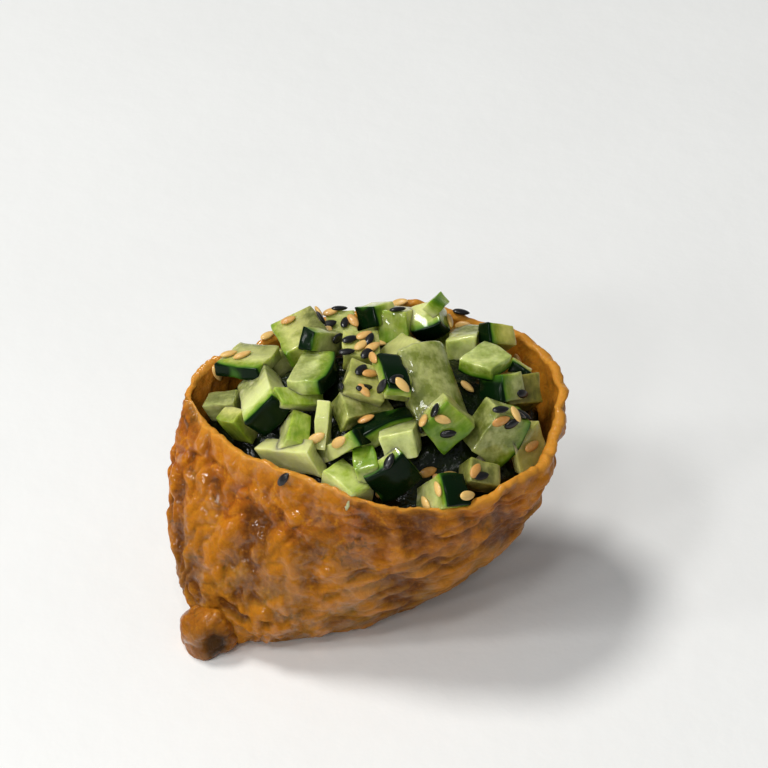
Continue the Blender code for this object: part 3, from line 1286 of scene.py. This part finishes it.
@dataclass
class FillingCore:
    """The inside of the filling, which the dice and the grains lie on: here the depth of the heap."""

    heap: HeapForm
    name: str = "cucumber_shade_depth"
    sink: float = 5.0
    edge_part: float = 0.93
    middle_part: float = 0.03
    bottom_draw: float = 0.2
    bottom_sink: float = 1.0
    coarse_lumps: Layer = Layer(0.7, 4.0, 41)
    fine_lumps: Layer = Layer(0.4, 1.8, 42)
    steps_round: int = 120
    top_rings: int = 26

    def build(self, material: bpy.types.Material) -> bpy.types.Object:
        """Make the core.

        Args:
            material: Its finish.

        Returns:
            The core, as one piece.
        """
        angle = full_turn(self.steps_round)
        parts = np.linspace(self.edge_part, self.middle_part, self.top_rings)
        top = [self.top_ring(angle, np.full_like(angle, part)) for part in parts]
        maker = MeshMaker()
        maker.add_tube(np.concatenate(self.with_sides(angle, top)), self.steps_round)
        return maker.build(self.name, material)

    def top_ring(self, angle: np.ndarray, part: np.ndarray) -> np.ndarray:
        """One ring of its lumpy top, at a part of the way from the middle to the edge."""
        return self.uneven(self.heap.spot(angle, part, self.sink))

    def uneven(self, ring: np.ndarray) -> np.ndarray:
        """Make a ring of points lumpy, and return it."""
        ring[:, 2] += self.coarse_lumps.lumps(ring) + self.fine_lumps.lumps(ring)
        return ring

    def with_sides(self, angle: np.ndarray, top: list[np.ndarray]) -> list[np.ndarray]:
        """Add the sides below the top.

        Args:
            angle: Angles of the points in each ring, in radians; not used.
            top: The top's rings, from its edge to its middle.

        Returns:
            All rings, with a bottom ring that is drawn in.
        """
        bottom = top[0] + (top[0].mean(axis=0) - top[0]) * self.bottom_draw
        bottom[:, 2] = self.heap.rice_height(bottom[:, 0]) - self.bottom_sink
        return [bottom, *top]


@dataclass
class RiceCore(FillingCore):
    """The inside of the rice, down to the pouch's foot."""

    name: str = "rice_core"
    edge_part: float = 0.84
    top_sink: float = 1.6
    side_gap: float = 2.2
    side_rings: int = 12
    foot_level: float = 0.02
    side_level: float = 0.6
    least_step: float = 0.2

    def top_ring(self, angle: np.ndarray, part: np.ndarray) -> np.ndarray:
        """Work out one ring of its lumpy, sloping top.

        Args:
            angle: Angles of its points, in radians.
            part: 0 at the top's middle and 1 at the filling's side, for each point.

        Returns:
            The ring's points in mm.
        """
        ring = self.heap.spot(angle, part)
        ring[:, 2] = self.top_height(ring)
        return self.uneven(ring)

    def top_height(self, spots: np.ndarray) -> np.ndarray:
        """Height of the core's top under the loose grains."""
        return self.heap.rice_height(spots[:, 0]) - self.top_sink

    def with_sides(self, angle: np.ndarray, top: list[np.ndarray]) -> list[np.ndarray]:
        """Add the sides below the top.

        Args:
            angle: Angles of the points in each ring, in radians.
            top: The top's rings, from its edge to its middle.

        Returns:
            All rings. The top's first ring is no further out than the ring below it.
        """
        levels = np.linspace(self.foot_level, self.side_level, self.side_rings)
        sides = [self.heap.form.inner(angle, np.full_like(angle, level), self.heap.inset + self.side_gap)
                 for level in levels]
        edge = sides[-1].copy()
        edge[:, 2] = np.maximum(self.top_height(edge), edge[:, 2] + self.least_step)
        return [*sides, edge, *top[1:]]


@dataclass
class RiceGrains:
    """Loose grains on the rice, most of them under the dice."""

    heap: HeapForm
    count: int = 330
    length: float = 5.6
    thickness: float = 2.3
    flatness: float = 0.85
    spread: float = 0.76
    parts: Span = (0.12, 1.0)
    depths: Span = (-1.2, 0.6)
    sizes: Span = (0.85, 1.1)
    rolls: Span = (0, 3)
    tilts: Span = (-0.4, 0.4)
    end_gap: float = 0.15
    steps: int = 9
    seed: int = 5
    name: str = "rice_grains"

    def shape(self) -> tuple[np.ndarray, list[Face]]:
        """One ball along X, 2 mm long, that each grain is stretched from.

        Returns:
            Its points and its faces.
        """
        tilt, angle = ring_grid(self.end_gap, math.pi - self.end_gap, self.steps, self.steps)
        ball = np.stack([-np.cos(tilt), np.sin(tilt) * np.cos(angle), np.sin(tilt) * np.sin(angle)], axis=-1)
        return np.concatenate([ball.reshape(-1, 3), END_POINTS]), tube_faces(self.steps, self.steps)

    def build(self, material: bpy.types.Material) -> bpy.types.Object:
        """Make the grains.

        Args:
            material: The rice's finish.

        Returns:
            The grains, as one piece.
        """
        chance = random.Random(self.seed)
        ball, faces = self.shape()
        size = np.array([self.length, self.thickness, self.thickness * self.flatness]) / 2
        maker = MeshMaker()
        for _ in range(self.count):
            part = math.sqrt(chance.uniform(*self.parts)) * self.spread
            spot = self.heap.spot(np.array([chance.uniform(0, TURN_ROUND)]), np.array([part]))[0]
            spot[2] = self.heap.rice_height(spot[0]) + chance.uniform(*self.depths)
            grain = ball * size * chance.uniform(*self.sizes)
            turn = Euler([chance.uniform(*span) for span in (self.rolls, self.tilts, (0, TURN_ROUND))])
            maker.add(grain @ np.array(turn.to_matrix()).T + spot, faces)
        return maker.build(self.name, material)


# ---------------------------------------------------------------------------------------------
# Sesame
# ---------------------------------------------------------------------------------------------

@dataclass
class SesameSeeds:
    """Seeds of one kind that have settled on what is under them."""

    name: str
    places: tuple[Point, ...]
    seed: int
    length: float = 3.2
    width: float = 1.95
    thickness: float = 1.05
    roundness: float = 1.85
    point_power: float = 0.62
    sizes: Span = (0.9, 1.08)
    ends: Span = (0.03, 0.985)
    most_toasted: float = 0.6
    lift: float = 0.42
    drop_height: float = 90.0
    rows: int = 12
    steps_round: int = 14

    def shape(self) -> tuple[np.ndarray, list[Face]]:
        """One drop, its blunt end at -X and its point at +X, 2 mm long and round in section.

        Returns:
            Its points and its faces.
        """
        along, angle = ring_grid(*self.ends, self.rows, self.steps_round)
        radius = np.sqrt(along) * (1 - along) ** self.point_power * self.roundness
        points = np.stack([along * 2 - 1, radius * np.cos(angle), radius * np.sin(angle)], axis=-1)
        return np.concatenate([points.reshape(-1, 3), END_POINTS]), tube_faces(self.rows, self.steps_round)

    def ground(self, across: float, along: float, trees: list[BVHTree]) -> tuple[Vector, Vector]:
        """Find where a seed comes to lie.

        Args:
            across: Its place along X, in mm.
            along: Its place along Y, in mm.
            trees: The pieces that it can lie on.

        Returns:
            The highest spot below it, and the way up from there.
        """
        start = Vector((across, along, self.drop_height))
        hits = [tree.ray_cast(start, Vector((0, 0, -1))) for tree in trees]
        spot, normal = max((hit[:2] for hit in hits if hit[0] is not None), key=lambda hit: hit[0].z)
        return spot, normal if normal.z > 0 else -normal

    def build(self, material: bpy.types.Material, under: list[bpy.types.Object]) -> bpy.types.Object:
        """Let each seed down onto the pieces under it.

        Args:
            material: The seeds' finish.
            under: The pieces that seeds can lie on.

        Returns:
            The seeds, as one piece.
        """
        chance = random.Random(self.seed)
        trees = [BVHTree.FromPolygons([vertex.co / MM for vertex in piece.data.vertices],
                                      [tuple(face.vertices) for face in piece.data.polygons])
                 for piece in under]
        drop, faces = self.shape()
        size = np.array([self.length, self.width, self.thickness]) / 2
        maker = MeshMaker()
        for across, along, aim in self.places:
            spot, normal = self.ground(across, along, trees)
            aimed = Vector((math.cos(math.radians(aim)), math.sin(math.radians(aim)), 0))
            long_way = (aimed - normal * aimed.dot(normal)).normalized()
            axes = np.array([long_way, normal.cross(long_way), normal]) * chance.uniform(*self.sizes)
            middle = np.array(spot + normal * self.thickness * self.lift)
            toast = chance.random() ** 2 * self.most_toasted
            maker.add((drop * size) @ axes + middle, faces, toast=np.full(len(drop), toast))
        return maker.build(self.name, material)


# ---------------------------------------------------------------------------------------------
# Studio
# ---------------------------------------------------------------------------------------------

@dataclass(frozen=True)
class FloorFinish:
    """A plain pale floor with a faint unevenness."""

    pale: Colour = (0.86, 0.86, 0.84)
    paler: Colour = (0.89, 0.89, 0.87)

    def build(self) -> bpy.types.Material:
        """Make the material.

        Returns:
            The finish.
        """
        recipe = Recipe("pale_floor")
        colour = recipe.ramp(recipe.cloud(60, detail=4), [(0.3, self.pale), (0.7, self.paler)])
        recipe.set(Base_Color=colour, Roughness=0.75, Normal=recipe.bump(recipe.cloud(6), 0.15))
        return recipe.material


@dataclass(frozen=True)
class Lamp:
    """One round, soft light that shines at the part; sizes in m, angles in degrees."""

    name: str
    azimuth: float
    elevation: float
    watts: float
    distance: float = 0.85
    size: float = 0.10
    colour: Colour = (1.0, 1.0, 1.0)


@dataclass
class Studio:
    """The floor, the lamps and the camera."""

    target: Vector = field(default_factory=lambda: Vector((3.0, 19.5, 28.8)) * MM)
    camera_elevation: float = math.radians(39)
    camera_distance: float = 499 * MM
    lens: float = 126.56
    floor_size: float = 8.0
    room_colour: Colour = (0.90, 0.95, 1.0)
    room_light: float = 0.19
    lamps: tuple[Lamp, ...] = (
        Lamp("key", 150, 64, 17.0, distance=1.8, size=0.48, colour=(1.0, 0.99, 0.97)),
        Lamp("front_left", 205, 54, 0.8, size=0.12),
        *(Lamp(f"ceiling_{azimuth}", azimuth, elevation, watts) for azimuth, elevation, watts in (
            (195, 36, 0.65), (215, 50, 0.45), (228, 30, 0.75),
            (240, 60, 0.4), (252, 34, 0.65), (265, 68, 0.4))))

    def build(self) -> None:
        """Set up everything round the part."""
        self.lay_floor()
        for lamp in self.lamps:
            self.hang(lamp)
        self.light_room()
        self.place_camera()
        bpy.context.scene.view_settings.view_transform = "Standard"

    def lay_floor(self) -> None:
        """Lay the pale floor."""
        half = self.floor_size / 2
        data = bpy.data.meshes.new("floor")
        corners = [(-half, -half, 0), (half, -half, 0), (half, half, 0), (-half, half, 0)]
        data.from_pydata(corners, [], [(0, 1, 2, 3)])
        data.materials.append(FloorFinish().build())
        floor = bpy.data.objects.new("floor", data)
        bpy.context.scene.collection.objects.link(floor)

    def hang(self, lamp: Lamp) -> None:
        """Hang one lamp.

        Args:
            lamp: Which lamp, and where it goes.
        """
        data = bpy.data.lights.new(lamp.name, "AREA")
        data.shape = "DISK"
        data.size = lamp.size
        data.energy = lamp.watts
        data.color = lamp.colour
        holder = bpy.data.objects.new(lamp.name, data)
        up, side = math.radians(lamp.elevation), math.radians(lamp.azimuth)
        way = Vector((math.cos(up) * math.cos(side), math.cos(up) * math.sin(side), math.sin(up)))
        holder.location = way * lamp.distance
        holder.rotation_euler = way.to_track_quat("Z", "Y").to_euler()
        bpy.context.scene.collection.objects.link(holder)

    def light_room(self) -> None:
        """Fill the room with even light."""
        world = bpy.data.worlds.new("room")
        world.use_nodes = True
        background = world.node_tree.nodes["Background"]
        background.inputs["Color"].default_value = (*self.room_colour, 1)
        background.inputs["Strength"].default_value = self.room_light
        bpy.context.scene.world = world

    def place_camera(self) -> None:
        """Look down at the part from its front."""
        data = bpy.data.cameras.new("camera")
        data.lens = self.lens
        holder = bpy.data.objects.new("camera", data)
        back = Vector((0, -math.cos(self.camera_elevation), math.sin(self.camera_elevation)))
        holder.location = self.target + back * self.camera_distance
        holder.rotation_euler = Euler((math.pi / 2 - self.camera_elevation, 0, 0))
        bpy.context.scene.collection.objects.link(holder)
        bpy.context.scene.camera = holder


# ---------------------------------------------------------------------------------------------
# Where things lie, in mm and degrees
# ---------------------------------------------------------------------------------------------

# Each die's middle, size and turn; then its depth under the skin, ripeness, soaking with painted shade, and
# bend.
FRONT_DICE = (
    # Left end and left back.
    Die((-25, 0, 39.5), (3, 4, 6.5), (-65, 5, -115), 8, 0.1, 0.6),
    Die((-22.5, -4, 38.5), (3, 4.5, 6.5), (-160, 20, -125), 1.5, 0.4, 0.6),
    Die((-18, -2.5, 43), (11.5, 7, 5), (45, -5, -80), 0, 0, 0.05),
    Die((-21, 6.5, 44.5), (8.5, 9, 2.5), (15, -5, -120), 0.4, 0.2, 0.45),
    Die((-12.5, -10.5, 41.5), (5, 4, 7), (100, -65, -15), 1.5, 0.1, 0.45),
    Die((-11.5, 10.5, 47), (8.5, 9, 4), (5, 20, -160), 1.5, 0.3, 0.8),
    Die((-8, 7, 48.5), (9.5, 4, 2.5), (-80, -35, -135), 0, 0, 0.5),
    Die((-9, -0.5, 47.5), (7, 10, 3), (175, -10, -15), 0, 0, 0.8),
    Die((-12, -4.5, 45), (3, 9, 3.5), (-35, -55, -35), 2, 0, 0.3),
    Die((-1, 5, 48.5), (3, 6.5, 7), (15, -85, -105), 5, 0.3, 0.9),
    Die((-4.5, 13.5, 46), (3, 5, 7), (20, -80, -105), 3, 0.2, 0.6),
    # Middle.
    Die((-0.5, -4.5, 48), (3, 8, 7), (-165, -70, -20), 6, 0.3, 0.75),
    Die((4.5, -6, 51.8), (2.8, 9, 4.5), (-170, -75, 5), 0, 0, 0.4),
    Die((4.5, -3.5, 49.2), (3.4, 8, 4.5), (-170, -75, 5), 3, 0.2, 0.9),
    Die((-1, -7.5, 45.5), (4, 9, 5.5), (145, -65, -25), 8, 0.2, 0.9),
    Die((3, -11.5, 44.5), (4, 10, 3.5), (-60, -80, 175), 0, 0, 1),
    Die((-7.5, -10.5, 44), (2.5, 4, 8), (145, 0, -10), 3, 0.1, 0.3),
    Die((1.5, 16, 47.5), (5.5, 5, 4), (-150, -15, -135), 0, 0, 0.4),
    Die((5.5, 15.5, 46), (7, 5, 5.5), (-175, -25, -105), 1.5, 0.2, 0.4),
    # Right of the middle.
    Die((12, -4.5, 47.5), (2.5, 10, 15), (155, -55, -40), 6, 0.1, 1, 2),
    Die((13.5, -11, 45), (5, 7, 7), (130, -15, -85), 1.2, 0.2, 0.65),
    Die((11, 16, 46), (5.5, 6, 5), (30, 20, -80), 0, 0.1, 0.1),
    Die((12.5, 16.5, 49.5), (3, 4, 2.5), (155, -55, -5), 1, 0, 0.3),
    Die((17.5, 12.5, 44), (8, 5.5, 4), (10, -20, -100), 3, 0.1, 0.5),
    Die((23, 13, 45), (5.5, 3.5, 4.5), (50, -25, -155), 0, 0.7, 0.5),
    Die((21, 3, 47), (3, 6.5, 7), (5, 85, -120), 0, 0, 0.8),
    Die((27, 5.5, 43), (3, 4, 2.5), (-25, -25, -100), 0, 0, 0),
    Die((23.5, 0, 44), (6, 6, 4.5), (-150, -20, -140), 0, 0.1, 0.9),
    Die((26.5, 1, 42), (4, 8, 6), (155, -40, -40), 8, 0.9, 0.8),
    # Front and right rim.
    Die((-13, -13, 39), (3, 5.5, 11.5), (-70, 10, -120), 5, 0.1, 0.15),
    Die((-4, -13.5, 42), (10, 3, 4), (-115, -40, -15), 0, 0.1, 0.35),
    Die((-3.5, -18.5, 37), (4.5, 7.5, 5.5), (-140, -80, 5), 2.5, 0, 0.3),
    Die((0, -17, 40), (5, 4, 5), (-110, -80, -155), 1, 0, 0.6),
    Die((6, -14, 43.5), (6.5, 6, 5), (-165, -20, -100), 4, 0, 0.6),
    Die((4.5, -18.5, 39), (2.5, 8, 7.5), (-150, -5, -75), 0, 0, 0),
    Die((12, -19.5, 34.5), (13, 6, 4.5), (55, -50, -35), 0, 0.1, 0.6),
    Die((19.5, -16.5, 37.5), (4, 6, 4), (135, -50, -40), 8, 0.4, 0.8),
    Die((22.5, -9, 41), (8, 9.5, 6), (-105, 40, 10), 0, 0.1, 1),
    Die((28, -9, 37.5), (2, 7, 7), (180, -25, -45), 5, 0.5, 0.5),
)

# Each crease's first angle and level, its last angle and level, its width and its depth.
FRONT_CREASES = (
    # The long ridge of the creased end, and the groove beside it.
    Crease(226, 0.71, 210, 0.37, 2.4, -0.7),
    Crease(233, 0.74, 221, 0.50, 1.6, 0.5),
    Crease(197, 0.74, 193, 0.41, 1.6, 0.5),
    # Short upright creases under the rim.
    Crease(202, 0.97, 202, 0.80, 1.3, 0.4),
    Crease(212, 0.93, 216, 0.79, 1.2, 0.4),
    Crease(242, 0.81, 246, 0.71, 1.1, 0.6),
    Crease(253, 0.72, 254, 0.60, 1.2, 0.4),
    Crease(248, 0.76, 251, 0.48, 1.2, 0.4),
    Crease(279, 0.95, 279, 0.79, 0.9, 0.3),
    Crease(298, 0.96, 300, 0.76, 0.9, 0.4),
    Crease(311, 0.94, 311, 0.78, 0.9, 0.4),
    # Two bowls, a blister, and the arc under them.
    Crease(236, 0.71, 236, 0.69, 3.5, 0.8),
    Crease(232, 0.53, 233, 0.50, 3.5, 0.7),
    Crease(257, 0.57, 257, 0.55, 2.6, -0.5),
    Crease(228, 0.33, 235, 0.30, 1.4, -0.5),
    Crease(235, 0.30, 242, 0.37, 1.4, -0.5),
    # The groove over the bottom lip.
    Crease(217, 0.30, 226, 0.23, 1.1, 0.6),
    Crease(226, 0.23, 236, 0.21, 1.1, 0.6),
    Crease(236, 0.21, 251, 0.30, 1.1, 0.5),
    # Long waves that follow the bottom edge.
    Crease(258, 0.41, 290, 0.63, 1.0, 0.35),
    Crease(263, 0.53, 293, 0.73, 1.0, 0.35),
    Crease(270, 0.38, 296, 0.58, 1.0, 0.30),
)

# Each seed's place along X and Y, and the way it points.
WHITE_SEED_PLACES = (
    # Back and left.
    (-9, 14.5, -50), (-6.5, 16, 20), (-7, 12, -70), (-14, 13, 20), (-18, 15.5, 40), (-22, 6.5, 20),
    (-27, 7, -40), (-24.5, 7.5, 20), (-2.5, 14, -60), (-0.5, 6.5, 30), (-1, 4, 50), (1, 3.5, 40),
    (2, 11, -20), (6, 23, -10),
    # Middle.
    (1.5, -2.5, -50), (0.5, -3.5, 20), (-0.5, -8, -50), (0, -11.5, 20), (6, -10, -40), (17.5, 0.5, -30),
    (-4.5, -15, 40), (-8.5, -13, 30),
    # Right back.
    (14.5, 16, -60), (17.5, 20.5, 10), (27.5, 14, 60), (29, 12.5, -50),
    # Right and front rim.
    (23, -11, 60), (25.5, -10, -50), (28.5, -9.5, 40), (24, -14.5, 40), (25.5, -13, 10), (10, -13, 80),
    (13, -13, -40), (10.5, -15, 30), (12.5, -15.5, -50), (14.5, -15, 0), (2.5, -17.5, 70), (10.5, -21, 70),
    (12.5, -22, 80), (17, -22.5, 20), (18.5, -18, 70))
BLACK_SEED_PLACES = (
    # Back and middle.
    (-8.5, 11.5, 0), (-5, 16.5, 20), (-4, 13.5, 80), (-7, 13, 20), (-5.5, 8.5, 10), (-3, 5.5, 30),
    (0.5, 5.5, 70), (-3.5, 2, 10), (0, 2, 60), (-1, -3, 60), (2.5, 4, -30), (5.5, 14, 30), (10, 12.5, 0),
    (17, 22, 0), (-4, -7.5, -30), (-0.5, -7.5, 20), (3, -9.5, 20), (5, -9, 40),
    # Left and front.
    (-27.5, 4.5, 60), (-15.5, -9.5, 70), (-14, -18.2, 30), (4, -19, 60), (9, -12.5, 20), (12, -12.5, 70),
    (14, -13.5, 30),
    # Right.
    (27, -1.5, 0), (23, -10.5, 20), (26, -9.5, 20), (25, -10.5, 80), (27, -8, -40), (19.5, -18.5, 20))

SEED_FINISHES = (
    SesameFinish(SeedKind.WHITE, (0.80, 0.52, 0.17), (0.52, 0.17, 0.02), 0.4, 0.4),
    SesameFinish(SeedKind.BLACK, (0.004, 0.004, 0.005), (0.012, 0.010, 0.009), 0.35, 0.5))


def main() -> None:
    """Build every piece in order and report it."""
    logging.basicConfig(level=logging.INFO, format="%(message)s")
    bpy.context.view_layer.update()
    form = PouchForm()
    heap = HeapForm(form)
    tofu, cucumber, rice = TofuFinish().build(), CucumberFinish().build(), RiceFinish().build()
    pouch = TofuPouch(form, creases=FRONT_CREASES).build(tofu)
    ear = TofuEar().build(tofu)
    dice = CucumberHeap(heap, FRONT_DICE).build(cucumber)
    # The depth of the heap is a near-black sheet of painted shade under the dice.
    depth = FillingCore(heap).build(DepthShadeFinish().build())
    rice_core = RiceCore(heap).build(rice)
    grains = RiceGrains(heap).build(rice)
    white, black = (
        SesameSeeds(finish.kind.value, places, seed).build(finish.build(), [pouch, dice, depth])
        for finish, places, seed in zip(SEED_FINISHES, (WHITE_SEED_PLACES, BLACK_SEED_PLACES), (3, 4)))
    for piece, node, slot in ((pouch, "tofu_pouch", "fried_tofu"), (ear, "tofu_pouch", "fried_tofu"),
                              (dice, "cucumber_heap", "cucumber"), (depth, "cucumber_heap", "cucumber"),
                              (rice_core, "rice_bed", "rice"), (grains, "rice_bed", "rice"),
                              (white, None, None), (black, None, None)):
        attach(piece, "root")
        if node:
            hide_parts(node)
        log.info("%s: %d triangles", piece.name, sum(len(face.vertices) - 2 for face in piece.data.polygons))
    Studio().build()


if __name__ == "__main__":
    main()
